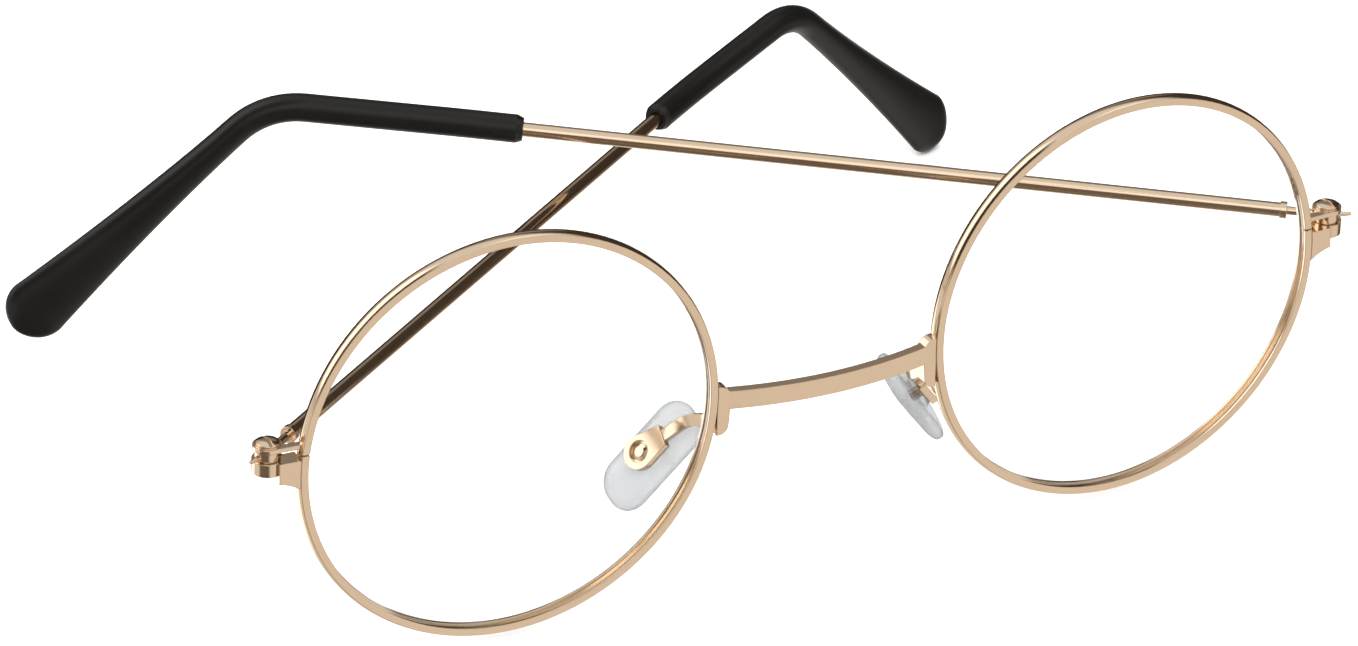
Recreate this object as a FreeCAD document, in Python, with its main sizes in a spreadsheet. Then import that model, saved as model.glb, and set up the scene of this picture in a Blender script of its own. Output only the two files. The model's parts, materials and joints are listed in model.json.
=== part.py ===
import FreeCAD, Part
import math
import os
import Sketcher

# Round wire eyeglasses, temples half folded. Millimetres, +Z up, the front faces -Y.
# Origin: middle of the bridge's flat top face. "right" and "left" are the wearer's
# sides, so right parts are on -X and left parts on +X.

V = FreeCAD.Vector
X_AXIS = V(1, 0, 0)
Y_AXIS = V(0, 1, 0)
Z_AXIS = V(0, 0, 1)
HANDS = {"right": -1, "left": 1}

doc = FreeCAD.newDocument("eyeglasses")
sheet = doc.addObject("Spreadsheet::Sheet", "Sizes")

SIZES = {
    # eyewire rings and their place
    "rim_center_x": 34.68,
    "rim_center_y": 2.7,
    "rim_center_z": -0.25,
    "rim_wrap": 2.6,
    "rim_radius": 22.6,
    "rim_width": 1.0,
    "rim_depth": 1.4,
    "rim_crown": 1.224,
    "rim_shoulder": 0.22,
    "groove_width": 0.8,
    "groove_depth": 0.45,
    "split_height": 2.55,
    "split_gap": 0.2,
    # lenses
    "lens_radius": 21.45,
    "lens_bevel_radius": 21.92,
    "lens_bevel_width": 0.5,
    "lens_thickness": 1.2,
    "lens_curve": 130,
    # bridge
    "bridge_bow": 1.7,
    "bridge_reach": 11.9,
    "bridge_height": 2.0,
    "bridge_thickness": 1.0,
    "solder_gap": 0.01,
    "foot_thickness": 1.3,
    "foot_depth": 1.3,
    "foot_top": 0.9,
    "foot_bottom": -4.6,
    "foot_toe": 1.05,
    # nose pads, their metal plates and their studs
    "pad_x": 14.7,
    "pad_y": 10.35,
    "pad_z": -11.55,
    "pad_frontal_angle": 36.5,
    "pad_splay_angle": 6,
    "pad_tilt_angle": 14.5,
    "pad_width": 6.0,
    "pad_height": 13.0,
    "pad_thickness": 2.0,
    "pad_corner": 2.6,
    "pad_edge": 0.7,
    "pad_boss_radius": 1.5,
    "pad_boss_height": 0.6,
    "plate_width": 3.8,
    "plate_top": 3.4,
    "plate_shoulder": 2.75,
    "plate_lean": 0.35,
    "plate_thickness": 0.8,
    "plate_sink_radius": 1.15,
    "plate_sink_depth": 0.42,
    "stud_radius": 0.6,
    "stud_head_radius": 0.9,
    "stud_head_height": 0.3,
    "pad_arm_width": 1.25,
    "pad_arm_thickness": 0.6,
    "pad_arm_root_drop": 3.6,
    "pad_arm_back": 1.6,
    "pad_arm_dip": 0.7,
    "pad_arm_rise": 3.0,
    # hinges: each axis is vertical and stands beside its rim
    "hinge_x": 59.8,
    "hinge_y": 5.0,
    "hinge_z": 2.38,
    "hinge_barrel_radius": 1.6,
    "hinge_gap": 0.05,
    "lower_barrel_height": 1.4,
    "upper_barrel_height": 0.45,
    "corner_plate_thickness": 2.0,
    "corner_plate_inset": 0.55,
    "corner_plate_foot": -1.9,
    "corner_plate_corner": -0.15,
    "screw_radius": 0.6,
    "screw_head_radius": 1.2,
    "screw_head_height": 0.42,
    "screw_slot_width": 0.3,
    "screw_slot_depth": 0.3,
    "washer_radius": 1.32,
    "washer_thickness": 0.1,
    "running_clearance": 0.05,
    "thread_clearance": 0.02,
    # temples
    "eye_radius": 1.3,
    "eye_height": 1.0,
    "socket_radius": 0.9,
    "socket_start": 4.1,
    "socket_end": 4.8,
    "neck_radius": 0.45,
    "tail_radius": 0.4,
    "tail_length": 2.6,
    "tail_skew": 11,
    "wire_radius": 0.75,
    "wire_start": 4.2,
    "wire_straight": 83.3,
    "temple_to_bend": 110.0,
    "ear_bend_angle": 48.8,
    "ear_bend_radius": 9.0,
    "sleeve_bend_place": 6.0,
    "sleeve_bend_radius": 60.0,
    "leg_length": 36.6,
    "wire_tip_setback": 9.0,
    "tip_radius": 1.49,
    "tip_mouth_radius": 1.2,
    "tip_mouth_length": 0.7,
    "paddle_half_width": 3.35,
    "paddle_half_thickness": 1.3,
    "paddle_cap": 3.4,
    # each temple's own set: fold from straight back, slope, and the turns at the sleeve
    "fold_right": 53.6,
    "fold_left": 58.8,
    "slope_right": -1.2,
    "slope_left": 2.9,
    "sleeve_yaw_right": 7.9,
    "sleeve_yaw_left": 3.5,
    "sleeve_pitch_right": 6.2,
    "sleeve_pitch_left": 1.3,
    "leg_lean_right": 4.2,
    "leg_lean_left": 5.4,
}

for row, (alias, size) in enumerate(SIZES.items(), start=1):
    sheet.set(f"A{row}", alias.replace("_", " "))
    sheet.set(f"B{row}", str(size))
    sheet.setAlias(f"B{row}", alias)
doc.recompute()


def named(expression):
    """The expression with every alias spelled as a cell of the sheet."""
    words = expression.replace("(", "( ").replace(")", " )").split(" ")
    return "".join(f"Sizes.{word}" if word in SIZES else word for word in words)


def number(expression):
    """The present value of an expression of the sheet's aliases."""
    return float(sheet.evalExpression(named(expression)))


def add(kind, name, **bindings):
    """A document object whose properties are bound to expressions of the sheet."""
    item = doc.addObject(kind, name)
    for prop, expression in bindings.items():
        setattr(item, prop, number(expression))
        item.setExpression(prop, named(expression))
    return item


def place(item, base=V(0, 0, 0), rotation=FreeCAD.Rotation()):
    item.Placement = FreeCAD.Placement(base, rotation)
    return item


def label(item, name):
    item.Label = name
    finished.append(item)


def cut(name, base, tool):
    item = doc.addObject("Part::Cut", name)
    item.Base = base
    item.Tool = tool
    return item


def fuse(name, *shapes):
    item = doc.addObject("Part::MultiFuse", name)
    item.Shapes = list(shapes)
    item.Refine = True
    return item


def common(name, *shapes):
    item = doc.addObject("Part::MultiCommon", name)
    item.Shapes = list(shapes)
    return item


def axis_sketch(body, name, role, offset="0"):
    """A sketch on one of the body's own origin planes, moved along the plane's normal."""
    plane = next(item for item in body.Origin.OriginFeatures if item.Role == role)
    sketch = body.newObject("Sketcher::SketchObject", name)
    sketch.AttachmentSupport = [(plane, "")]
    sketch.MapMode = "FlatFace"
    sketch.setExpression("AttachmentOffset.Base.z", named(offset))
    return sketch


def arc_between(start, finish, radius):
    """The short arc from start to finish; a positive radius bulges to the right."""
    chord = finish - start
    half = chord.Length / 2
    sagitta = abs(radius) - math.sqrt(radius**2 - half**2)
    right = V(chord.y, -chord.x, 0).normalize()
    middle = (start + finish) / 2 + right * math.copysign(sagitta, radius)
    return Part.Arc(start, middle, finish)


def outline(sketch, corners, rounds=None):
    """Close an outline through corners, which are pairs of expressions.

    rounds gives the radius expression and the bulge's side for each curved stretch.
    """
    rounds = rounds or {}
    spots = [V(number(x), number(y), 0) for x, y in corners]
    sides = []
    for k, start in enumerate(spots):
        finish = spots[(k + 1) % len(spots)]
        if k in rounds:
            radius, bulge = rounds[k]
            piece = arc_between(start, finish, bulge * number(radius))
        else:
            piece = Part.LineSegment(start, finish)
        index = sketch.addGeometry(piece, False)
        first = 1 if sketch.getPoint(index, 1).isEqual(start, 1e-6) else 2
        sides.append((index, first, 3 - first))
        if k in rounds:
            ring = sketch.addConstraint(Sketcher.Constraint("Radius", index, number(radius)))
            sketch.setExpression(f"Constraints[{ring}]", named(radius))
    for k, (index, first, last) in enumerate(sides):
        after, after_first, _ = sides[(k + 1) % len(sides)]
        sketch.addConstraint(Sketcher.Constraint("Coincident", index, last, after, after_first))
        for kind, expression, size in (
            ("DistanceX", corners[k][0], spots[k].x),
            ("DistanceY", corners[k][1], spots[k].y),
        ):
            rule = Sketcher.Constraint(kind, -1, 1, index, first, size)
            ruled = sketch.addConstraint(rule)
            sketch.setExpression(f"Constraints[{ruled}]", named(expression))


def circle(sketch, radius, center=("0", "0")):
    """A circle bound to expressions for its radius and its centre."""
    spot = V(number(center[0]), number(center[1]), 0)
    index = sketch.addGeometry(Part.Circle(spot, Z_AXIS, number(radius)), False)
    for kind, expression, arguments in (
        ("Radius", radius, (index, number(radius))),
        ("DistanceX", center[0], (-1, 1, index, 3, spot.x)),
        ("DistanceY", center[1], (-1, 1, index, 3, spot.y)),
    ):
        ruled = sketch.addConstraint(Sketcher.Constraint(kind, *arguments))
        sketch.setExpression(f"Constraints[{ruled}]", named(expression))


def pad(body, name, sketch, length, reverse=False, middle=False):
    feature = body.newObject("PartDesign::Pad", name)
    feature.Profile = sketch
    feature.setExpression("Length", named(length))
    feature.Reversed = reverse
    feature.Midplane = middle
    return feature


def pocket(body, name, sketch, length, reverse=False, middle=False):
    """A pocket, checked to have taken material away."""
    doc.recompute()
    before = body.Shape.Volume
    feature = body.newObject("PartDesign::Pocket", name)
    feature.Profile = sketch
    feature.setExpression("Length", named(length))
    feature.Reversed = reverse
    feature.Midplane = middle
    doc.recompute()
    assert body.Shape.Volume < before, f"{name} cuts nothing"
    return feature


def revolve(body, name, sketch, axis, angle="360"):
    feature = body.newObject("PartDesign::Revolution", name)
    feature.Profile = sketch
    feature.ReferenceAxis = (sketch, [axis])
    feature.setExpression("Angle", named(angle))
    feature.Midplane = True
    return feature


def rim_place(side):
    """The frame of a rim: origin at the ring's centre, local Y along the ring's axis."""
    base = V(side * number("rim_center_x"), number("rim_center_y"), number("rim_center_z"))
    return base, FreeCAD.Rotation(Z_AXIS, side * number("rim_wrap"))


def pad_place(side):
    """The frame of a nose pad: local Z up its length, local X through its thickness."""
    base = V(side * number("pad_x"), number("pad_y"), number("pad_z"))
    tilt = FreeCAD.Rotation(X_AXIS, number("pad_tilt_angle"))
    frontal = FreeCAD.Rotation(Y_AXIS, -side * number("pad_frontal_angle"))
    splay = FreeCAD.Rotation(Z_AXIS, -side * number("pad_splay_angle"))
    return base, tilt.multiply(frontal).multiply(splay)


def hinge_place(side):
    """The frame of a hinge: origin on its axis at the temple's height, Z up."""
    base = V(side * number("hinge_x"), number("hinge_y"), number("hinge_z"))
    return base, FreeCAD.Rotation(Z_AXIS, side * number("rim_wrap"))


def temple_place(side, hand):
    """The frame of a temple: the hinge's origin, local Y along the temple in plan."""
    base, _ = hinge_place(side)
    return base, FreeCAD.Rotation(Z_AXIS, side * number(f"fold_{hand}"))


def rim_clearance(name):
    """The rim's crowned outside grown by the solder gap, to cut the pieces soldered to it."""
    body = doc.addObject("PartDesign::Body", name)
    profile = axis_sketch(body, f"{name}_profile", "XY_Plane")
    crown = "rim_crown + solder_gap"
    edge = f"rim_radius - rim_crown + sqrt( ( {crown} ) ^ 2 - ( rim_depth / 2 ) ^ 2 )"
    outline(
        profile,
        [
            ("0", "- rim_depth * 2"),
            (edge, "- rim_depth * 2"),
            (edge, "- rim_depth / 2"),
            (edge, "rim_depth / 2"),
            (edge, "rim_depth * 2"),
            ("0", "rim_depth * 2"),
        ],
        {2: (crown, 1)},
    )
    revolve(body, f"{name}_turned", profile, "V_Axis")
    return body


def make_rim(hand, side):
    """Ring of half-round wire with a lens groove inside, split above the hinge."""
    body = doc.addObject("PartDesign::Body", f"rim_{hand}_body")
    profile = axis_sketch(body, f"rim_{hand}_profile", "XY_Plane")
    bore = "rim_radius - rim_width"
    outline(
        profile,
        [
            ("rim_radius - rim_shoulder", "- rim_depth / 2"),
            ("rim_radius - rim_shoulder", "rim_depth / 2"),
            (bore, "rim_depth / 2"),
            (bore, "groove_width / 2"),
            (f"{bore} + groove_depth", "groove_width / 4"),
            (f"{bore} + groove_depth", "- groove_width / 4"),
            (bore, "- groove_width / 2"),
            (bore, "- rim_depth / 2"),
        ],
        {0: ("rim_crown", 1)},
    )
    revolve(body, f"rim_{hand}_ring", profile, "V_Axis")
    slot = axis_sketch(body, f"rim_{hand}_slot", "XZ_Plane")
    inner = f"{side} * ( {bore} - 1 )"
    outer = f"{side} * ( rim_radius + 1 )"
    low = "split_height - split_gap / 2"
    high = "split_height + split_gap / 2"
    outline(slot, [(inner, low), (outer, low), (outer, high), (inner, high)])
    pocket(body, f"rim_{hand}_split", slot, "rim_depth * 2", middle=True)
    place(body, *rim_place(side))
    label(body, f"rim_{hand}")


def make_lens(hand, side):
    """Thin lens curved forward, with a bevel that sits in the rim's groove."""
    body = doc.addObject("PartDesign::Body", f"lens_{hand}_body")
    profile = axis_sketch(body, f"lens_{hand}_profile", "XY_Plane")
    dome = "( lens_curve - sqrt( lens_curve ^ 2 - lens_radius ^ 2 ) )"
    outline(
        profile,
        [
            ("0", f"- lens_thickness / 2 - {dome}"),
            ("lens_radius", "- lens_thickness / 2"),
            ("lens_radius", "- lens_bevel_width / 2"),
            ("lens_bevel_radius", "- lens_bevel_width / 4"),
            ("lens_bevel_radius", "lens_bevel_width / 4"),
            ("lens_radius", "lens_bevel_width / 2"),
            ("lens_radius", "lens_thickness / 2"),
            ("0", f"lens_thickness / 2 - {dome}"),
        ],
        {0: ("lens_curve", 1), 6: ("lens_curve", -1)},
    )
    revolve(body, f"lens_{hand}_turned", profile, "V_Axis")
    place(body, *rim_place(side))
    label(body, f"lens_{hand}")


def bridge_radius():
    """Radius of the bow through both strip ends and the middle of the bridge."""
    reach = number("bridge_reach")
    bow = number("bridge_bow")
    return (reach**2 + bow**2) / (2 * bow)


def make_bridge_foot(hand, side):
    """Leaf that lies along the rim's nose side, rounded off toward both of its ends."""
    body = doc.addObject("PartDesign::Body", f"foot_{hand}_body")
    leaf = axis_sketch(body, f"foot_{hand}_leaf", "XZ_Plane")
    inside = f"{-side} * ( rim_radius - rim_shoulder )"
    edge = f"{-side} * rim_radius"
    outline(
        leaf,
        [
            (inside, "foot_top"),
            (edge, "foot_top"),
            (f"{-side} * ( rim_radius + foot_thickness )", "foot_top - foot_thickness"),
            (f"{-side} * ( rim_radius + foot_toe )", "foot_bottom + foot_toe"),
            (edge, "foot_bottom"),
            (inside, "foot_bottom"),
        ],
        {1: ("foot_thickness", side), 3: ("foot_toe", side)},
    )
    pad(body, f"foot_{hand}_pad", leaf, "foot_depth", middle=True)
    seat = rim_clearance(f"foot_{hand}_seat")
    return place(cut(f"foot_{hand}", body, seat), *rim_place(side))


def make_bridge():
    """Flat strip bowed forward between the rims, with a soldered foot at each end."""
    body = doc.addObject("PartDesign::Body", "bridge_strip")
    profile = axis_sketch(body, "bridge_profile", "YZ_Plane")
    radius = bridge_radius()
    angle = 2 * math.degrees(math.asin(number("bridge_reach") / radius))
    bow_radius = "( bridge_reach ^ 2 + bridge_bow ^ 2 ) / ( 2 * bridge_bow )"
    front = f"- {bow_radius} - bridge_thickness / 2"
    rear = f"- {bow_radius} + bridge_thickness / 2"
    outline(
        profile,
        [(front, "- bridge_height"), (rear, "- bridge_height"), (rear, "0"), (front, "0")],
    )
    revolve(body, "bridge_bowed", profile, "V_Axis", str(angle))
    place(body, V(0, radius, 0))
    feet = [make_bridge_foot(hand, side) for hand, side in HANDS.items()]
    label(fuse("bridge_whole", body, *feet), "bridge")


def plate_inner():
    """Distance from a pad's middle to the near face of its plate."""
    return "pad_thickness / 2 + pad_boss_height + thread_clearance"


def make_nose_pad(hand, side):
    """Soft pad with rounded corners; its boss takes the stud."""
    body = doc.addObject("PartDesign::Body", f"nose_pad_{hand}_body")
    face = axis_sketch(body, f"nose_pad_{hand}_face", "YZ_Plane")
    wide = "pad_width / 2"
    tall = "pad_height / 2"
    wide_in = f"{wide} - pad_corner"
    tall_in = f"{tall} - pad_corner"
    outline(
        face,
        [
            (wide, f"- ( {tall_in} )"),
            (wide, tall_in),
            (wide_in, tall),
            (f"- ( {wide_in} )", tall),
            (f"- {wide}", tall_in),
            (f"- {wide}", f"- ( {tall_in} )"),
            (f"- ( {wide_in} )", f"- {tall}"),
            (wide_in, f"- {tall}"),
        ],
        {k: ("pad_corner", 1) for k in (1, 3, 5, 7)},
    )
    slab = pad(body, f"nose_pad_{hand}_slab", face, "pad_thickness", middle=True)
    doc.recompute()
    soft = body.newObject("PartDesign::Fillet", f"nose_pad_{hand}_soft")
    half = number("pad_thickness") / 2
    rims = [
        f"Edge{k}"
        for k, edge in enumerate(slab.Shape.Edges, start=1)
        if all(abs(abs(vertex.X) - half) < 1e-6 for vertex in edge.Vertexes)
        and edge.BoundBox.XLength < 1e-6
    ]
    soft.Base = (slab, rims)
    soft.setExpression("Radius", named("pad_edge"))
    reach = "pad_thickness / 2 + pad_boss_height"
    boss = axis_sketch(body, f"nose_pad_{hand}_boss_sketch", "YZ_Plane")
    circle(boss, "pad_boss_radius")
    pad(body, f"nose_pad_{hand}_boss", boss, reach, reverse=side < 0)
    hole = axis_sketch(body, f"nose_pad_{hand}_hole_sketch", "YZ_Plane")
    circle(hole, "stud_radius + thread_clearance")
    pocket(body, f"nose_pad_{hand}_hole", hole, f"{reach} + 0.1", reverse=side > 0)
    place(body, *pad_place(side))
    label(body, f"nose_pad_{hand}")


def make_pad_plate(hand, side):
    """Teardrop metal plate with a sunk hole that holds the pad's stud."""
    body = doc.addObject("PartDesign::Body", f"pad_plate_{hand}_body")
    near = plate_inner() if side > 0 else f"- ( {plate_inner()} )"
    face = axis_sketch(body, f"pad_plate_{hand}_face", "YZ_Plane", near)
    wide = "plate_width / 2"
    outline(
        face,
        [
            (wide, "0"),
            ("plate_lean", "plate_top"),
            (f"- {wide}", "plate_shoulder"),
            (f"- {wide}", "0"),
        ],
        {3: (f"{wide} * 1.0001", 1)},
    )
    pad(body, f"pad_plate_{hand}_slab", face, "plate_thickness", reverse=side < 0)
    hole = axis_sketch(body, f"pad_plate_{hand}_hole_sketch", "YZ_Plane", near)
    circle(hole, "stud_radius + running_clearance")
    pocket(body, f"pad_plate_{hand}_hole", hole, "plate_thickness + 0.1", reverse=side > 0)
    far = f"{plate_inner()} + plate_thickness"
    far = far if side > 0 else f"- ( {far} )"
    sink = axis_sketch(body, f"pad_plate_{hand}_sink_sketch", "YZ_Plane", far)
    circle(sink, "plate_sink_radius")
    pocket(body, f"pad_plate_{hand}_sink", sink, "plate_sink_depth", reverse=side < 0)
    place(body, *pad_place(side))
    label(body, f"pad_plate_{hand}")


def make_pad_stud(hand, side):
    """Headed pin through the plate's hole, pressed into the pad's boss."""
    body = doc.addObject("PartDesign::Body", f"pad_stud_{hand}_body")
    profile = axis_sketch(body, f"pad_stud_{hand}_profile", "XY_Plane")
    seat = f"{plate_inner()} + plate_thickness - plate_sink_depth + thread_clearance"
    inner = f"{side} * 0.1"
    step = f"{side} * ( {seat} )"
    crown = f"{side} * ( {seat} + stud_head_height )"
    edge = f"{side} * ( {seat} + stud_head_height * 0.5 )"
    outline(
        profile,
        [
            (inner, "0"),
            (inner, "stud_radius"),
            (step, "stud_radius"),
            (step, "stud_head_radius"),
            (edge, "stud_head_radius"),
            (crown, "stud_head_radius * 0.6"),
            (crown, "0"),
        ],
    )
    revolve(body, f"pad_stud_{hand}_turned", profile, "H_Axis")
    place(body, *pad_place(side))
    label(body, f"pad_stud_{hand}")


def strip_section(center, across, through, width, thickness):
    """A rectangle about center, width along across and thickness along through."""
    u = across.normalize() * width / 2
    w = through.normalize() * thickness / 2
    corners = [center + u + w, center - u + w, center - u - w, center + u - w]
    return Part.makePolygon(corners + corners[:1])


def make_pad_arm(hand, side):
    """Thin strip from the foot's rear face, looped back to the slanted end of the plate."""
    base, turn = rim_place(side)
    ring = number("rim_radius + foot_thickness / 2")
    drop = number("pad_arm_root_drop")
    rear = number("foot_depth / 2 + solder_gap")
    out = math.sqrt(ring**2 - drop**2)
    root = base + turn.multVec(V(-side * out, rear, -drop))
    pad_base, pad_turn = pad_place(side)
    middle = side * number(f"{plate_inner()} + plate_thickness / 2")
    high_end = V(middle, number("plate_lean"), number("plate_top"))
    low_end = V(middle, number("- plate_width / 2"), number("plate_shoulder"))
    slant = (high_end - low_end).normalize()
    outward = V(0, -slant.z, slant.y)
    end_middle = (high_end + low_end) / 2 + outward * number("solder_gap")
    tip = pad_base + pad_turn.multVec(end_middle)
    tip_lead = pad_turn.multVec(outward)
    tip_across = pad_turn.multVec(slant)
    knee = V(0, number("pad_arm_back"), -number("pad_arm_dip"))
    rise = number("pad_arm_rise")
    width = number("pad_arm_width")
    thickness = number("pad_arm_thickness")
    curve = Part.BSplineCurve()
    curve.interpolate(
        Points=[root, root + turn.multVec(knee), tip + tip_lead * rise, tip],
        InitialTangent=turn.multVec(Y_AXIS),
        FinalTangent=-tip_lead,
    )
    first = curve.FirstParameter
    last = curve.LastParameter
    sections = []
    stations = 8
    for k in range(stations + 1):
        share = k / stations
        place_on_curve = first * (1 - share) + last * share
        spot = curve.value(place_on_curve)
        lead = V(*curve.tangent(place_on_curve)[0])
        wide = Z_AXIS * (1 - share) + tip_across * share
        wide = wide - lead * wide.dot(lead)
        sections.append(strip_section(spot, wide, lead.cross(wide), width, thickness))
    arm = doc.addObject("Part::Feature", f"pad_arm_{hand}_strip")
    arm.Shape = Part.makeLoft(sections, True, False)
    label(arm, f"pad_arm_{hand}")


def hinge_in_rim():
    """The hinge in the rim's frame: outward, back and up from the ring's centre."""
    out = "( hinge_x - rim_center_x )"
    back = "( hinge_y - rim_center_y )"
    along = f"{out} * cos( rim_wrap ) + {back} * sin( rim_wrap )"
    behind = f"{back} * cos( rim_wrap ) - {out} * sin( rim_wrap )"
    return along, behind, "hinge_z - rim_center_z"


def make_end_piece(hand, side):
    """Corner block on the rim's lower end, with the lower hinge barrel behind it."""
    along, behind, height = hinge_in_rim()
    body = doc.addObject("PartDesign::Body", f"corner_plate_{hand}")
    front = "rim_depth / 2"
    face = axis_sketch(body, f"corner_plate_{hand}_face", "XZ_Plane", front)
    root = f"{side} * ( rim_radius - 1 )"
    corner = f"{side} * ( {along} - corner_plate_inset )"
    shelf = f"{height} - eye_height / 2 - hinge_gap"
    outline(
        face,
        [
            (root, "corner_plate_foot"),
            (corner, "corner_plate_corner"),
            (corner, shelf),
            (root, shelf),
        ],
        {0: ("rim_radius / 4", -side)},
    )
    pad(body, f"corner_plate_{hand}_slab", face, "corner_plate_thickness", reverse=True)
    barrel_foot = number(f"{shelf} - lower_barrel_height")
    barrel = add(
        "Part::Cylinder",
        f"lower_barrel_{hand}",
        Radius="hinge_barrel_radius",
        Height="lower_barrel_height",
    )
    barrel_base = V(side * number(along), number(behind), barrel_foot)
    place(barrel, barrel_base)
    thread = add(
        "Part::Cylinder",
        f"thread_{hand}",
        Radius="screw_radius + thread_clearance",
        Height="lower_barrel_height",
    )
    place(thread, barrel_base + V(0, 0, number("lower_barrel_height") * 0.12))
    solid = fuse(f"end_{hand}_solid", body, barrel)
    bored = cut(f"end_{hand}_bored", solid, thread)
    whole = cut(f"end_{hand}_whole", bored, rim_clearance(f"end_{hand}_seat"))
    place(whole, *rim_place(side))
    label(whole, f"end_piece_{hand}")


def make_closing_lug(hand, side):
    """Lug on the rim's upper end that carries the upper hinge barrel."""
    along, behind, height = hinge_in_rim()
    front = "rim_depth * 0.2"
    arm = add(
        "Part::Box",
        f"lug_arm_{hand}",
        Length=f"{along} - rim_radius + 1",
        Width=f"{behind} + {front} - eye_radius / 2",
        Height="upper_barrel_height",
    )
    low = number(f"{height} + eye_height / 2 + hinge_gap")
    arm_x = number("rim_radius - 1" if side > 0 else f"- ( {along} )")
    place(arm, V(arm_x, -number(front), low))
    barrel = add(
        "Part::Cylinder",
        f"upper_barrel_{hand}",
        Radius="hinge_barrel_radius * 0.95",
        Height="upper_barrel_height",
    )
    axis_x = side * number(along)
    axis_y = number(behind)
    place(barrel, V(axis_x, axis_y, low))
    bore = add(
        "Part::Cylinder",
        f"upper_bore_{hand}",
        Radius="screw_radius + running_clearance",
        Height="upper_barrel_height * 2",
    )
    place(bore, V(axis_x, axis_y, low - number("upper_barrel_height") / 2))
    solid = fuse(f"lug_{hand}_solid", arm, barrel)
    bored = cut(f"lug_{hand}_bored", solid, bore)
    whole = cut(f"lug_{hand}_whole", bored, rim_clearance(f"lug_{hand}_seat"))
    place(whole, *rim_place(side))
    label(whole, f"closing_lug_{hand}")


def make_hinge_washer(hand, side):
    """Thin ring between the upper barrel and the screw's head."""
    low = "eye_height / 2 + hinge_gap + upper_barrel_height"
    body = doc.addObject("PartDesign::Body", f"hinge_washer_{hand}_body")
    ring = axis_sketch(body, f"hinge_washer_{hand}_ring", "XY_Plane", low)
    circle(ring, "washer_radius")
    circle(ring, "screw_radius + running_clearance")
    pad(body, f"hinge_washer_{hand}_pad", ring, "washer_thickness")
    place(body, *hinge_place(side))
    label(body, f"hinge_washer_{hand}")


def make_hinge_screw(hand, side):
    """Slotted screw that closes the rim and is the hinge's pin."""
    body = doc.addObject("PartDesign::Body", f"hinge_screw_{hand}_body")
    seat = "eye_height / 2 + hinge_gap + upper_barrel_height + washer_thickness + 0.01"
    bottom = "- ( eye_height / 2 + hinge_gap + lower_barrel_height * 0.85 )"
    profile = axis_sketch(body, f"hinge_screw_{hand}_profile", "XZ_Plane")
    outline(
        profile,
        [
            ("0", bottom),
            ("screw_radius - 0.15", bottom),
            ("screw_radius", f"{bottom} + 0.15"),
            ("screw_radius", seat),
            ("screw_head_radius", seat),
            ("screw_head_radius", f"{seat} + screw_head_height * 0.4"),
            ("0", f"{seat} + screw_head_height"),
        ],
        {5: ("screw_head_radius * 2.2", 1)},
    )
    revolve(body, f"hinge_screw_{hand}_turned", profile, "V_Axis")
    slot = axis_sketch(body, f"hinge_screw_{hand}_slot_sketch", "XZ_Plane")
    floor = f"{seat} + screw_head_height - screw_slot_depth"
    wide = "screw_slot_width / 2"
    top = f"{seat} + screw_head_height + 1"
    outline(slot, [(f"- {wide}", floor), (wide, floor), (wide, top), (f"- {wide}", top)])
    pocket(body, f"hinge_screw_{hand}_slot", slot, "screw_head_radius * 3", middle=True)
    place(body, *hinge_place(side))
    label(body, f"hinge_screw_{hand}")


def make_temple_eye(hand, side):
    """Flattened eye on the hinge pin, with a neck and socket for the wire and a short tail."""
    slope = FreeCAD.Rotation(X_AXIS, number(f"slope_{hand}"))
    along = slope.multiply(FreeCAD.Rotation(X_AXIS, -90))
    eye = add("Part::Cylinder", f"eye_{hand}", Radius="eye_radius", Height="eye_height")
    place(eye, V(0, 0, -number("eye_height") / 2))
    neck = add("Part::Cylinder", f"neck_{hand}", Radius="neck_radius", Height="socket_start + 0.1")
    place(neck, V(0, 0, 0), along)
    socket = add(
        "Part::Cylinder",
        f"socket_{hand}",
        Radius="socket_radius",
        Height="socket_end - socket_start",
    )
    place(socket, slope.multVec(V(0, number("socket_start"), 0)), along)
    tail = add(
        "Part::Cone",
        f"tail_{hand}",
        Radius1="tail_radius",
        Radius2="tail_radius * 0.45",
        Height="tail_length",
    )
    skew = FreeCAD.Rotation(Z_AXIS, side * number("tail_skew"))
    place(tail, V(0, 0, 0), skew.multiply(FreeCAD.Rotation(X_AXIS, 90)))
    pin_hole = add(
        "Part::Cylinder",
        f"eye_hole_{hand}",
        Radius="screw_radius + running_clearance",
        Height="eye_height * 2",
    )
    place(pin_hole, V(0, 0, -number("eye_height")))
    seat = add(
        "Part::Cylinder",
        f"wire_seat_{hand}",
        Radius="wire_radius + thread_clearance",
        Height="socket_end",
    )
    start = number("wire_start - solder_gap")
    place(seat, slope.multVec(V(0, start, 0)), along)
    solid = fuse(f"eye_{hand}_solid", eye, neck, socket, tail)
    bored = cut(f"eye_{hand}_bored", solid, pin_hole)
    whole = cut(f"eye_{hand}_whole", bored, seat)
    place(whole, *temple_place(side, hand))
    label(whole, f"temple_eye_{hand}")


def temple_corners(hand, side):
    """The corners of a temple's centre line: start, sleeve, ear bend and end."""
    slope = math.radians(number(f"slope_{hand}"))
    pitch = slope + math.radians(number(f"sleeve_pitch_{hand}"))
    yaw = math.radians(number(f"sleeve_yaw_{hand}"))
    lean = math.radians(number(f"leg_lean_{hand}"))
    drop = pitch - math.radians(number("ear_bend_angle"))

    def heading(turn, rise):
        flat = V(-side * math.sin(turn), math.cos(turn), 0)
        return flat * math.cos(rise) + Z_AXIS * math.sin(rise)

    first = heading(0, slope)
    second = heading(yaw, pitch)
    inward = heading(yaw + math.pi / 2, 0)
    leg = heading(yaw, drop) * math.cos(lean) + inward * math.sin(lean)
    sleeve = first * number("wire_straight + sleeve_bend_place")
    bend = sleeve + second * number("temple_to_bend - wire_straight - sleeve_bend_place")
    return [first * number("wire_start"), sleeve, bend, bend + leg * number("leg_length")]


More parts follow.
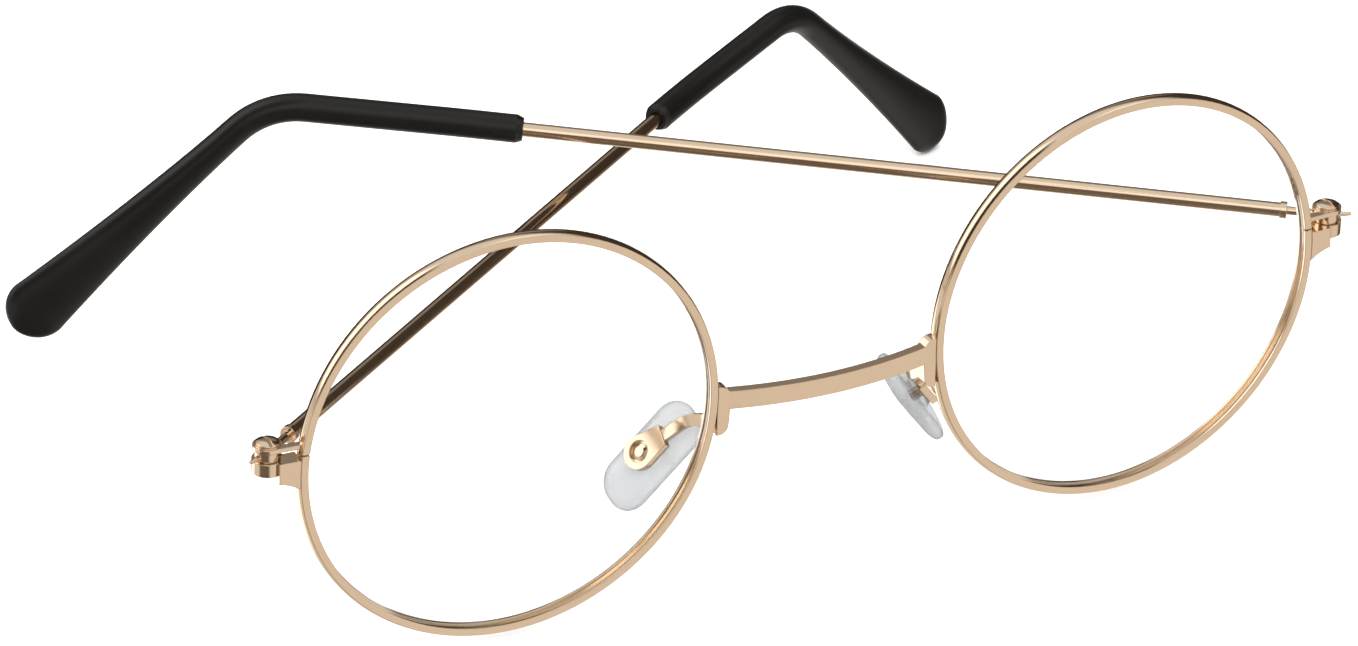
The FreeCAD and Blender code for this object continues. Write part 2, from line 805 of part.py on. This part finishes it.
def rounded_path(corners, radii):
    """A wire through corners whose inner corners are rounded to the given radii."""
    pieces = []
    start = corners[0]
    for before, corner, after, radius in zip(corners, corners[1:], corners[2:], radii):
        come = (corner - before).normalize()
        leave = (after - corner).normalize()
        setback = radius * math.tan(come.getAngle(leave) / 2)
        first = corner - come * setback
        last = corner + leave * setback
        inward = (leave - come).normalize()
        centre = corner + inward * math.hypot(radius, setback)
        middle = centre - inward * radius
        pieces.append(Part.LineSegment(start, first).toShape())
        pieces.append(Part.Arc(first, middle, last).toShape())
        start = last
    pieces.append(Part.LineSegment(start, corners[-1]).toShape())
    return Part.Wire(pieces)


def along_path(path, distance):
    """The point and the direction at a distance along a wire."""
    for edge in path.Edges:
        if distance <= edge.Length + 1e-7:
            spot = edge.getParameterByLength(min(distance, edge.Length))
            return edge.valueAt(spot), edge.tangentAt(spot)
        distance -= edge.Length
    raise ValueError("the distance is past the path's end")


def swept_circle(name, path, radius):
    """A round bar along a path."""
    spine = doc.addObject("Part::Feature", f"{name}_spine")
    spine.Shape = path
    start, lead = along_path(path, 0)
    profile = add("Part::Circle", f"{name}_profile", Radius=radius)
    place(profile, start, FreeCAD.Rotation(Z_AXIS, lead))
    sweep = doc.addObject("Part::Sweep", name)
    sweep.Sections = [profile]
    sweep.Spine = (spine, [f"Edge{k + 1}" for k in range(len(path.Edges))])
    sweep.Solid = True
    return sweep


def make_temple_wire(hand, side):
    """Round wire from the eye's socket, around the ear bend and into the tip."""
    corners = temple_corners(hand, side)
    back = (corners[2] - corners[3]).normalize()
    corners[3] = corners[3] + back * number("wire_tip_setback")
    radii = (number("sleeve_bend_radius"), number("ear_bend_radius"))
    path = rounded_path(corners, radii)
    wire = swept_circle(f"temple_wire_{hand}_sweep", path, "wire_radius")
    place(wire, *temple_place(side, hand))
    label(wire, f"temple_wire_{hand}")


def tip_section(name, spot, lead, flat_normal, half_width, half_thickness):
    """An oval across a temple tip, its long axis in the ear bend's plane."""
    oval = add("Part::Ellipse", name, MajorRadius=half_width, MinorRadius=half_thickness)
    across = lead.cross(flat_normal)
    return place(oval, spot, FreeCAD.Rotation(across, flat_normal, lead, "ZXY"))


def loft(name, sections):
    item = doc.addObject("Part::Loft", name)
    item.Sections = sections
    item.Solid = True
    return item


def make_tip_leg(hand, start, finish, flat_normal):
    """The leg behind the ear: round at its start, then wider and flatter to its end."""
    lead = (finish - start).normalize()
    run = (finish - start).Length - number("paddle_cap")
    sections = []
    steps = 8
    for step in range(steps + 1):
        share = step / steps
        grown = share**1.6
        sections.append(
            tip_section(
                f"leg_{hand}_{step}",
                start + lead * run * share,
                lead,
                flat_normal,
                f"tip_radius + ( paddle_half_width - tip_radius ) * {grown}",
                f"tip_radius + ( paddle_half_thickness - tip_radius ) * {grown}",
            )
        )
    return loft(f"tip_{hand}_leg", sections)


def make_tip_cap(hand, start, finish, flat_normal):
    """The rounded end of the leg: an arc in outline, its faces closing as an oval."""
    lead = (finish - start).normalize()
    cap = number("paddle_cap")
    sections = []
    for step, angle in enumerate(range(0, 80, 11)):
        turn = math.radians(angle)
        sections.append(
            tip_section(
                f"cap_{hand}_{step}",
                finish - lead * cap * (1 - math.sin(turn)),
                lead,
                flat_normal,
                f"paddle_half_width * {math.cos(turn)}",
                f"paddle_half_thickness * {math.cos(turn) ** 0.5}",
            )
        )
    return loft(f"tip_{hand}_cap", sections)


def make_temple_tip(hand, side):
    """Plastic sleeve: round at the wire, flat and wide at its end, bored for the wire."""
    radii = (number("sleeve_bend_radius"), number("ear_bend_radius"))
    corners = temple_corners(hand, side)
    first = (corners[1] - corners[0]).normalize()
    run = (corners[2] - corners[1]).normalize()
    leg = (corners[3] - corners[2]).normalize()
    flat_normal = run.cross(leg).normalize()
    opening = first * number("wire_straight")
    mouth = add(
        "Part::Cone",
        f"tip_{hand}_mouth",
        Radius1="tip_mouth_radius",
        Radius2="tip_radius",
        Height="tip_mouth_length",
    )
    place(mouth, opening, FreeCAD.Rotation(Z_AXIS, first))
    sleeve_start = opening + first * number("tip_mouth_length")
    path = rounded_path([sleeve_start] + corners[1:], radii)
    leg_start = path.Vertexes[-2].Point
    round_path = Part.Wire(path.Edges[:-1])
    sleeve = swept_circle(f"tip_{hand}_sleeve", round_path, "tip_radius")
    flat = make_tip_leg(hand, leg_start, corners[3], flat_normal)
    cap = make_tip_cap(hand, leg_start, corners[3], flat_normal)
    core_end = corners[3] - leg * number("wire_tip_setback - 0.5")
    core = rounded_path([opening - first, *corners[1:3], core_end], radii)
    bore = swept_circle(f"tip_{hand}_bore", core, "wire_radius + running_clearance")
    solid = fuse(f"tip_{hand}_solid", mouth, sleeve, flat, cap)
    whole = cut(f"tip_{hand}_whole", solid, bore)
    place(whole, *temple_place(side, hand))
    label(whole, f"temple_tip_{hand}")


finished = []
make_bridge()
for hand, side in HANDS.items():
    make_rim(hand, side)
    make_lens(hand, side)
    make_nose_pad(hand, side)
    make_pad_plate(hand, side)
    make_pad_stud(hand, side)
    make_pad_arm(hand, side)
    make_end_piece(hand, side)
    make_closing_lug(hand, side)
    make_hinge_washer(hand, side)
    make_hinge_screw(hand, side)
    make_temple_eye(hand, side)
    make_temple_wire(hand, side)
    make_temple_tip(hand, side)
doc.recompute()

broken = [item.Label for item in doc.Objects if {"Invalid", "Error"} & set(item.State)]
assert not broken, f"objects that failed: {broken}"
for item in finished:
    assert not item.Shape.isNull() and item.Shape.isValid(), f"{item.Label} is not valid"
    assert len(item.Shape.Solids) == 1, f"{item.Label} holds {len(item.Shape.Solids)} solids"

os.makedirs("parts", exist_ok=True)
for item in finished:
    item.Shape.exportStep(f"parts/{item.Label}.step")
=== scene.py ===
import json
import math

import bmesh
import bpy
from mathutils import Matrix, Quaternion, Vector


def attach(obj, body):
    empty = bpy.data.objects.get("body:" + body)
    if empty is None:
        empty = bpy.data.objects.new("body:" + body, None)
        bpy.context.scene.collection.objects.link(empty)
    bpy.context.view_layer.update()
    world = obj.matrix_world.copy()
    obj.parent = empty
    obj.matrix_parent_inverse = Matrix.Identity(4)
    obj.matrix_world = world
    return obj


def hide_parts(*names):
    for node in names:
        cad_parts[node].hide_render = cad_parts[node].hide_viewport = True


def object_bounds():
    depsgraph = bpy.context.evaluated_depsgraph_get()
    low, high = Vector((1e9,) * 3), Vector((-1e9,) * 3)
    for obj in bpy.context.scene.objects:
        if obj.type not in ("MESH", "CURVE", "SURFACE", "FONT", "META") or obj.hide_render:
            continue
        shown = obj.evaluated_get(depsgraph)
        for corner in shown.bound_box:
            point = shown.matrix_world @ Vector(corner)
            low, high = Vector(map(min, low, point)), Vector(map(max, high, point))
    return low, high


# Looks of the round wire eyeglasses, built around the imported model. Metres, +Z up, the front
# faces -Y, origin in the middle of the bridge's flat top. "right" and "left" are the wearer's.

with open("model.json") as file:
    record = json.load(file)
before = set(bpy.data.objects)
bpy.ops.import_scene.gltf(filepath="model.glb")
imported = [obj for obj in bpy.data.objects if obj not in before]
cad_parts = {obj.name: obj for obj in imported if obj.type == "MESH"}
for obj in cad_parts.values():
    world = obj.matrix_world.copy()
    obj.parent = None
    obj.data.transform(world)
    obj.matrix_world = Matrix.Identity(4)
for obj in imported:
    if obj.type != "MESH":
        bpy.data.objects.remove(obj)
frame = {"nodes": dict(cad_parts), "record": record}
cad_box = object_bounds()
scene = bpy.context.scene

MM = 0.001
HANDS = {"right": -1, "left": 1}

# The soft pads: half sizes, corner and boss in metres, and how they turn, in degrees.
PAD_HALF_WIDTH = 3.0 * MM
PAD_HALF_HEIGHT = 6.5 * MM
PAD_HALF_THICKNESS = 1.0 * MM
PAD_CORNER = 2.6 * MM
PAD_BOSS_RADIUS = 1.35 * MM
PAD_BOSS_SKIRT = 0.5 * MM
PAD_BOSS_HEIGHT = 0.6 * MM
PAD_TILT = 14.5
PAD_FRONTAL = 36.5
PAD_SPLAY = 6.0


# ---------------------------------------------------------------- shader helpers


class Shader:
    """A short way to write a material's or a world's nodes."""

    def __init__(self, tree):
        self.tree = tree
        tree.nodes.clear()

    def node(self, kind, settings=None, **inputs):
        item = self.tree.nodes.new(kind)
        for name, value in (settings or {}).items():
            setattr(item, name, value)
        for name, value in inputs.items():
            self.put(item, name.replace("_", " "), value)
        return item

    def put(self, item, name, value):
        socket = item.inputs[int(name)] if name.isdigit() else item.inputs[name]
        if isinstance(value, bpy.types.NodeSocket):
            self.tree.links.new(value, socket)
        else:
            socket.default_value = value

    def math(self, operation, *values, clamp=False):
        item = self.node("ShaderNodeMath", {"operation": operation, "use_clamp": clamp})
        for index, value in enumerate(values):
            self.put(item, str(index), value)
        return item.outputs[0]

    def vector(self, operation, *values):
        item = self.node("ShaderNodeVectorMath", {"operation": operation})
        for index, value in enumerate(values):
            self.put(item, str(index), value)
        return item

    def dot(self, a, b):
        return self.vector("DOT_PRODUCT", a, b).outputs["Value"]

    def step(self, value, low, high):
        """0 below low, 1 above high, smooth between."""
        item = self.node("ShaderNodeMapRange", {"interpolation_type": "SMOOTHSTEP"})
        for name, number in (("Value", value), ("From Min", low), ("From Max", high)):
            self.put(item, name, number)
        return item.outputs[0]

    def mix(self, share, a, b):
        item = self.node("ShaderNodeMix", {"data_type": "RGBA"})
        for index, value in ((0, share), (6, a), (7, b)):
            self.put(item, str(index), value)
        return item.outputs[2]

    def noise(self, place, scale, detail=3.0, roughness=0.5):
        item = self.node("ShaderNodeTexNoise", Vector=place, Scale=scale, Detail=detail)
        self.put(item, "Roughness", roughness)
        return item.outputs[0]


def material(name):
    made = bpy.data.materials.new(name)
    made.use_nodes = True
    return made, Shader(made.node_tree)


# ---------------------------------------------------------------- materials


def make_gold():
    """Polished champagne gold plating with faint drawing marks and handling wear."""
    made, sh = material("champagne_gold")
    place = sh.node("ShaderNodeTexCoord").outputs["Object"]
    cloud = sh.noise(place, 180.0, 4.0)
    grain = sh.noise(place, 2600.0, 2.0)
    tint = sh.mix(cloud, (0.77, 0.60, 0.43, 1), (0.84, 0.67, 0.50, 1))
    rough = sh.math("MULTIPLY_ADD", cloud, 0.06, 0.07)
    rough = sh.math("MULTIPLY_ADD", grain, 0.04, rough)
    soft_edge = sh.node("ShaderNodeBevel", {"samples": 6}, Radius=0.14 * MM)
    bump = sh.node("ShaderNodeBump", Strength=0.06, Distance=0.02 * MM, Height=grain)
    sh.put(bump, "Normal", soft_edge.outputs[0])
    body = sh.node("ShaderNodeBsdfPrincipled", Metallic=1.0, Roughness=rough)
    sh.put(body, "Base Color", tint)
    sh.put(body, "Normal", bump.outputs[0])
    out = sh.node("ShaderNodeOutputMaterial")
    sh.put(out, "Surface", body.outputs[0])
    return made


def make_tip_plastic():
    """Glossy black moulded plastic with a fine orange-peel surface."""
    made, sh = material("black_tip")
    place = sh.node("ShaderNodeTexCoord").outputs["Object"]
    peel = sh.noise(place, 900.0, 2.0)
    cloud = sh.noise(place, 120.0, 3.0)
    tint = sh.mix(cloud, (0.004, 0.004, 0.004, 1), (0.008, 0.007, 0.006, 1))
    rough = sh.math("MULTIPLY_ADD", cloud, 0.12, 0.26)
    bump = sh.node("ShaderNodeBump", Strength=0.15, Distance=0.03 * MM, Height=peel)
    body = sh.node("ShaderNodeBsdfPrincipled", Roughness=rough)
    sh.put(body, "Base Color", tint)
    sh.put(body, "Specular IOR Level", 0.28)
    sh.put(body, "Normal", bump.outputs[0])
    out = sh.node("ShaderNodeOutputMaterial")
    sh.put(out, "Surface", body.outputs[0])
    return made


def make_pad_plastic():
    """Clear soft plastic: see-through in the middle, cloudy grey-white toward its edges."""
    made, sh = material("clear_pad")
    place = sh.node("ShaderNodeTexCoord").outputs["Object"]
    cloud = sh.noise(place, 420.0, 3.0)
    edge = sh.node("ShaderNodeLayerWeight", Blend=0.35).outputs["Facing"]
    tint = sh.mix(edge, (0.36, 0.37, 0.38, 1), (0.14, 0.16, 0.18, 1))
    rough = sh.math("MULTIPLY_ADD", cloud, 0.14, 0.16)
    bump = sh.node("ShaderNodeBump", Strength=0.2, Distance=0.05 * MM, Height=cloud)
    body = sh.node("ShaderNodeBsdfPrincipled", Roughness=rough, IOR=1.42)
    sh.put(body, "Base Color", tint)
    sh.put(body, "Normal", bump.outputs[0])
    solid = sh.math("MULTIPLY_ADD", edge, 0.50, 0.32)
    sh.put(body, "Alpha", sh.math("MULTIPLY_ADD", cloud, 0.16, solid))
    out = sh.node("ShaderNodeOutputMaterial")
    sh.put(out, "Surface", body.outputs[0])
    return made


def make_lens_glass():
    """Thin clear lens: what is behind shows unbent, and only grazing angles reflect."""
    made, sh = material("clear_lens")
    place = sh.node("ShaderNodeTexCoord").outputs["Object"]
    smear = sh.noise(place, 90.0, 4.0, 0.6)
    facing = sh.node("ShaderNodeLayerWeight", Blend=0.12).outputs["Fresnel"]
    share = sh.math("MULTIPLY", facing, 0.35)
    tint = sh.mix(smear, (0.997, 0.999, 0.999, 1), (0.992, 0.996, 0.996, 1))
    rough = sh.math("MULTIPLY_ADD", smear, 0.04, 0.01)
    bump = sh.node("ShaderNodeBump", Strength=0.02, Distance=0.01 * MM, Height=smear)
    clear = sh.node("ShaderNodeBsdfTransparent", Color=tint)
    shine = sh.node("ShaderNodeBsdfGlossy", Roughness=rough, Normal=bump.outputs[0])
    both = sh.node("ShaderNodeMixShader")
    sh.put(both, "0", share)
    sh.put(both, "1", clear.outputs[0])
    sh.put(both, "2", shine.outputs[0])
    out = sh.node("ShaderNodeOutputMaterial")
    sh.put(out, "Surface", both.outputs[0])
    return made


MATERIALS = {
    "gold": make_gold(),
    "tip": make_tip_plastic(),
    "pad": make_pad_plastic(),
    "lens": make_lens_glass(),
}


def dress(piece, slot):
    piece.data.materials.clear()
    piece.data.materials.append(MATERIALS[slot])


slot_of = {part["node"]: part["material_slot"] for part in frame["record"]["subparts"]}
for name, piece in frame["nodes"].items():
    dress(piece, slot_of[name])


# ---------------------------------------------------------------- soft nose pads


def pad_outline(turn):
    """Distance from a pad's middle to its rounded-rectangle edge, in a direction."""
    across, up = abs(math.cos(turn)), abs(math.sin(turn))
    side_hit = PAD_HALF_WIDTH / max(across, 1e-9)
    end_hit = PAD_HALF_HEIGHT / max(up, 1e-9)
    reach = min(side_hit, end_hit)
    core_x, core_y = PAD_HALF_WIDTH - PAD_CORNER, PAD_HALF_HEIGHT - PAD_CORNER
    if reach * across > core_x and reach * up > core_y:
        along = core_x * across + core_y * up
        reach = along + math.sqrt(along**2 - core_x**2 - core_y**2 + PAD_CORNER**2)
    return reach


def ease(value):
    """0 below 0, 1 above 1, smooth between."""
    value = min(1.0, max(0.0, value))
    return value * value * (3 - 2 * value)


def pad_mesh(side):
    """A crowned pad; its rear face rises into the boss that takes the stud."""
    around = 96
    rings = 40
    shell = bmesh.new()

    def face_point(share, turn, front):
        # Rings are round near the middle, for the boss, and follow the outline further out.
        outer = (0.02 + 0.98 * share) * pad_outline(turn)
        blend = ease((share - 0.45) / 0.35)
        radius = share * PAD_HALF_WIDTH * (1 - blend) + outer * blend
        crown = 2.6 if front else 3.6
        deep = PAD_HALF_THICKNESS * (1 - share**crown) ** (1 / crown)
        if front:
            deep = -deep
        else:
            skirt_edge = PAD_BOSS_RADIUS + PAD_BOSS_SKIRT
            deep += PAD_BOSS_HEIGHT * ease((skirt_edge - radius) / PAD_BOSS_SKIRT)
        return Vector((side * deep, radius * math.cos(turn), radius * math.sin(turn)))

    turns = [2 * math.pi * k / around for k in range(around)]
    shares = [math.sin(0.5 * math.pi * k / rings) for k in range(1, rings + 1)]
    loops = []
    for front in (True, False):
        centre = shell.verts.new(face_point(0.0, 0.0, front))
        run = shares if front else shares[:-1]
        sheets = [[shell.verts.new(face_point(s, t, front)) for t in turns] for s in run]
        for k in range(around):
            shell.faces.new((centre, sheets[0][k], sheets[0][(k + 1) % around]))
        loops.append(sheets)
    loops[1].append(loops[0][-1])
    for sheets in loops:
        for inner, outer in zip(sheets, sheets[1:]):
            for k in range(around):
                after = (k + 1) % around
                shell.faces.new((inner[k], outer[k], outer[after], inner[after]))
    bmesh.ops.recalc_face_normals(shell, faces=shell.faces)
    mesh = bpy.data.meshes.new("soft_pad")
    shell.to_mesh(mesh)
    shell.free()
    mesh.polygons.foreach_set("use_smooth", [True] * len(mesh.polygons))
    return mesh


def make_soft_pads():
    """Each pad hangs at its stud's pivot, turned toward the side of the nose."""
    pivots = {j["name"]: j["pos_m"] for j in frame["record"]["behaviour"]["joints"]}
    for hand, side in HANDS.items():
        pad = bpy.data.objects.new(f"soft_pad_{hand}", pad_mesh(side))
        scene.collection.objects.link(pad)
        tilt = Matrix.Rotation(math.radians(PAD_TILT), 4, "X")
        frontal = Matrix.Rotation(math.radians(-PAD_FRONTAL * side), 4, "Y")
        splay = Matrix.Rotation(math.radians(-PAD_SPLAY * side), 4, "Z")
        pivot = Matrix.Translation(pivots[f"pad_swivel_{hand}"])
        pad.matrix_world = pivot @ tilt @ frontal @ splay
        dress(pad, "pad")
        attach(pad, f"pad_{hand}")
        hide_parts(f"nose_pad_{hand}")


make_soft_pads()


# ---------------------------------------------------------------- studio


def make_floor():
    low = cad_box[0].z
    bpy.ops.mesh.primitive_plane_add(size=30.0, location=(0, 0, low - 0.1 * MM))
    floor = bpy.context.object
    floor.name = "floor"
    made, sh = material("pale_floor")
    body = sh.node("ShaderNodeBsdfDiffuse", Color=(0.93, 0.93, 0.93, 1))
    out = sh.node("ShaderNodeOutputMaterial")
    sh.put(out, "Surface", body.outputs[0])
    floor.data.materials.append(made)
    floor.visible_glossy = False


def make_world():
    """White studio. Mirror-like surfaces see a bright ceiling, a pale table and dark gaps."""
    world = bpy.data.worlds.new("studio")
    world.use_nodes = True
    scene.world = world
    sh = Shader(world.node_tree)
    toward = sh.node("ShaderNodeTexCoord").outputs["Generated"]
    split = sh.node("ShaderNodeSeparateXYZ", Vector=toward)
    aside, behind, height = (split.outputs[axis] for axis in "XYZ")

    def patch(aim, inner, outer):
        """1 within the inner angle of a direction, 0 beyond the outer angle."""
        near = sh.dot(toward, Vector(aim).normalized())
        return sh.step(near, math.cos(math.radians(outer)), math.cos(math.radians(inner)))

    def belt(low, high, soft):
        """1 over the wearer's right, above the horizon, between two values of the depth."""
        inside = sh.math("MULTIPLY", sh.step(behind, low, low + soft), sh.step(behind, high, high - soft))
        above = sh.math("MULTIPLY", sh.step(aside, -0.15, -0.35), sh.step(height, 0.02, 0.16))
        return sh.math("MULTIPLY", inside, above)

    table = (0.83, 0.77, 0.71, 1)
    wall = (0.55, 0.51, 0.47, 1)
    ceiling = (0.82, 0.82, 0.82, 1)
    window = (1.30, 1.28, 1.25, 1)
    gloom = (0.045, 0.036, 0.028, 1)
    brown = (0.17, 0.135, 0.11, 1)
    dusk = (0.27, 0.245, 0.22, 1)
    glare = (1.90, 1.84, 1.80, 1)
    colour = sh.mix(sh.step(height, -0.12, 0.06), table, wall)
    colour = sh.mix(sh.step(height, 0.52, 0.70), colour, ceiling)
    colour = sh.mix(patch((-0.35, -0.72, 0.60), 20, 38), colour, window)
    colour = sh.mix(belt(0.12, 0.80, 0.10), colour, glare)
    colour = sh.mix(belt(-0.50, 0.18, 0.10), colour, gloom)

    # Direction, angles in degrees where the patch is whole and where it is gone, colour.
    # Later patches lie over earlier ones.
    patches = (
        ((0.40, -0.20, 0.90), 10, 20, window),  # tops of the rims
        ((-0.40, 0.77, -0.49), 12, 24, glare),  # bores of the rims, toward +X
        ((-0.55, -0.80, -0.05), 16, 26, brown),  # left temple, middle of the wire
        ((0.16, 0.96, -0.12), 20, 32, gloom),  # rear edges of the crowns, above and toward -X
        ((-0.22, 0.95, -0.10), 14, 24, gloom),
        ((-0.12, -0.90, 0.38), 8, 18, brown),  # left temple, just above the middle
        ((0.68, 0.60, 0.25), 30, 46, gloom),  # right temple
        ((0.40, 0.77, 0.49), 8, 18, dusk),  # level tops, such as the bridge's
        ((0.88, 0.08, -0.45), 10, 26, brown),
        ((-0.25, -0.30, -0.92), 16, 34, brown),  # underside of the left temple
        ((0.93, 0.08, 0.20), 24, 36, gloom),  # crowns of the rims, above and toward +X
        ((-0.50, -0.50, -0.71), 25, 38, brown),  # left temple, lower half of the wire
        ((0.63, 0.70, -0.34), 8, 15, window),  # left pad plate
    )
    for aim, inner, outer, shade in patches:
        colour = sh.mix(patch(aim, inner, outer), colour, shade)

    rays = sh.node("ShaderNodeLightPath")
    mirror = rays.outputs["Is Glossy Ray"]
    final = sh.mix(mirror, (1.08, 1.08, 1.08, 1), colour)
    background = sh.node("ShaderNodeBackground", Color=final, Strength=1.0)
    out = sh.node("ShaderNodeOutputWorld")
    sh.put(out, "Surface", background.outputs[0])


def make_camera():
    """The camera stands ahead, above and to the wearer's right, with a long lens."""
    azimuth = math.radians(-27.41)
    elevation = math.radians(29.40)
    roll = math.radians(1.70)
    distance = 920 * MM
    aim = Vector((-11.57, 11.45, 2.57)) * MM
    flat = math.cos(elevation)
    away = Vector((math.sin(azimuth) * flat, -math.cos(azimuth) * flat, math.sin(elevation)))
    lens = bpy.data.cameras.new("camera")
    lens.sensor_fit = "HORIZONTAL"
    lens.sensor_width = 36.0
    lens.lens = 242.86
    lens.clip_start = 0.01
    lens.clip_end = 100.0
    camera = bpy.data.objects.new("camera", lens)
    scene.collection.objects.link(camera)
    camera.rotation_mode = "QUATERNION"
    camera.location = aim + away * distance
    camera.rotation_quaternion = (-away).to_track_quat("-Z", "Y") @ Quaternion((0, 0, 1), roll)
    scene.camera = camera


def make_lights():
    """Soft boxes over the front and the back; glossy rays don't see them, so the plastic's highlights
    come from the world.
    """
    for name, spot, size, power in (
        ("front_box", Vector((-0.25, -0.45, 0.75)), 0.5, 6.0),
        ("back_box", Vector((0.2, 0.7, 0.8)), 0.6, 5.0),
    ):
        lamp = bpy.data.lights.new(name, "AREA")
        lamp.shape = "SQUARE"
        lamp.size = size
        lamp.energy = power
        item = bpy.data.objects.new(name, lamp)
        scene.collection.objects.link(item)
        item.location = spot
        item.rotation_euler = (-spot).to_track_quat("-Z", "Y").to_euler()
        item.visible_glossy = False


make_floor()
make_world()
make_lights()
make_camera()
scene.view_settings.view_transform = "Standard"
scene.cycles.transparent_max_bounces = 24
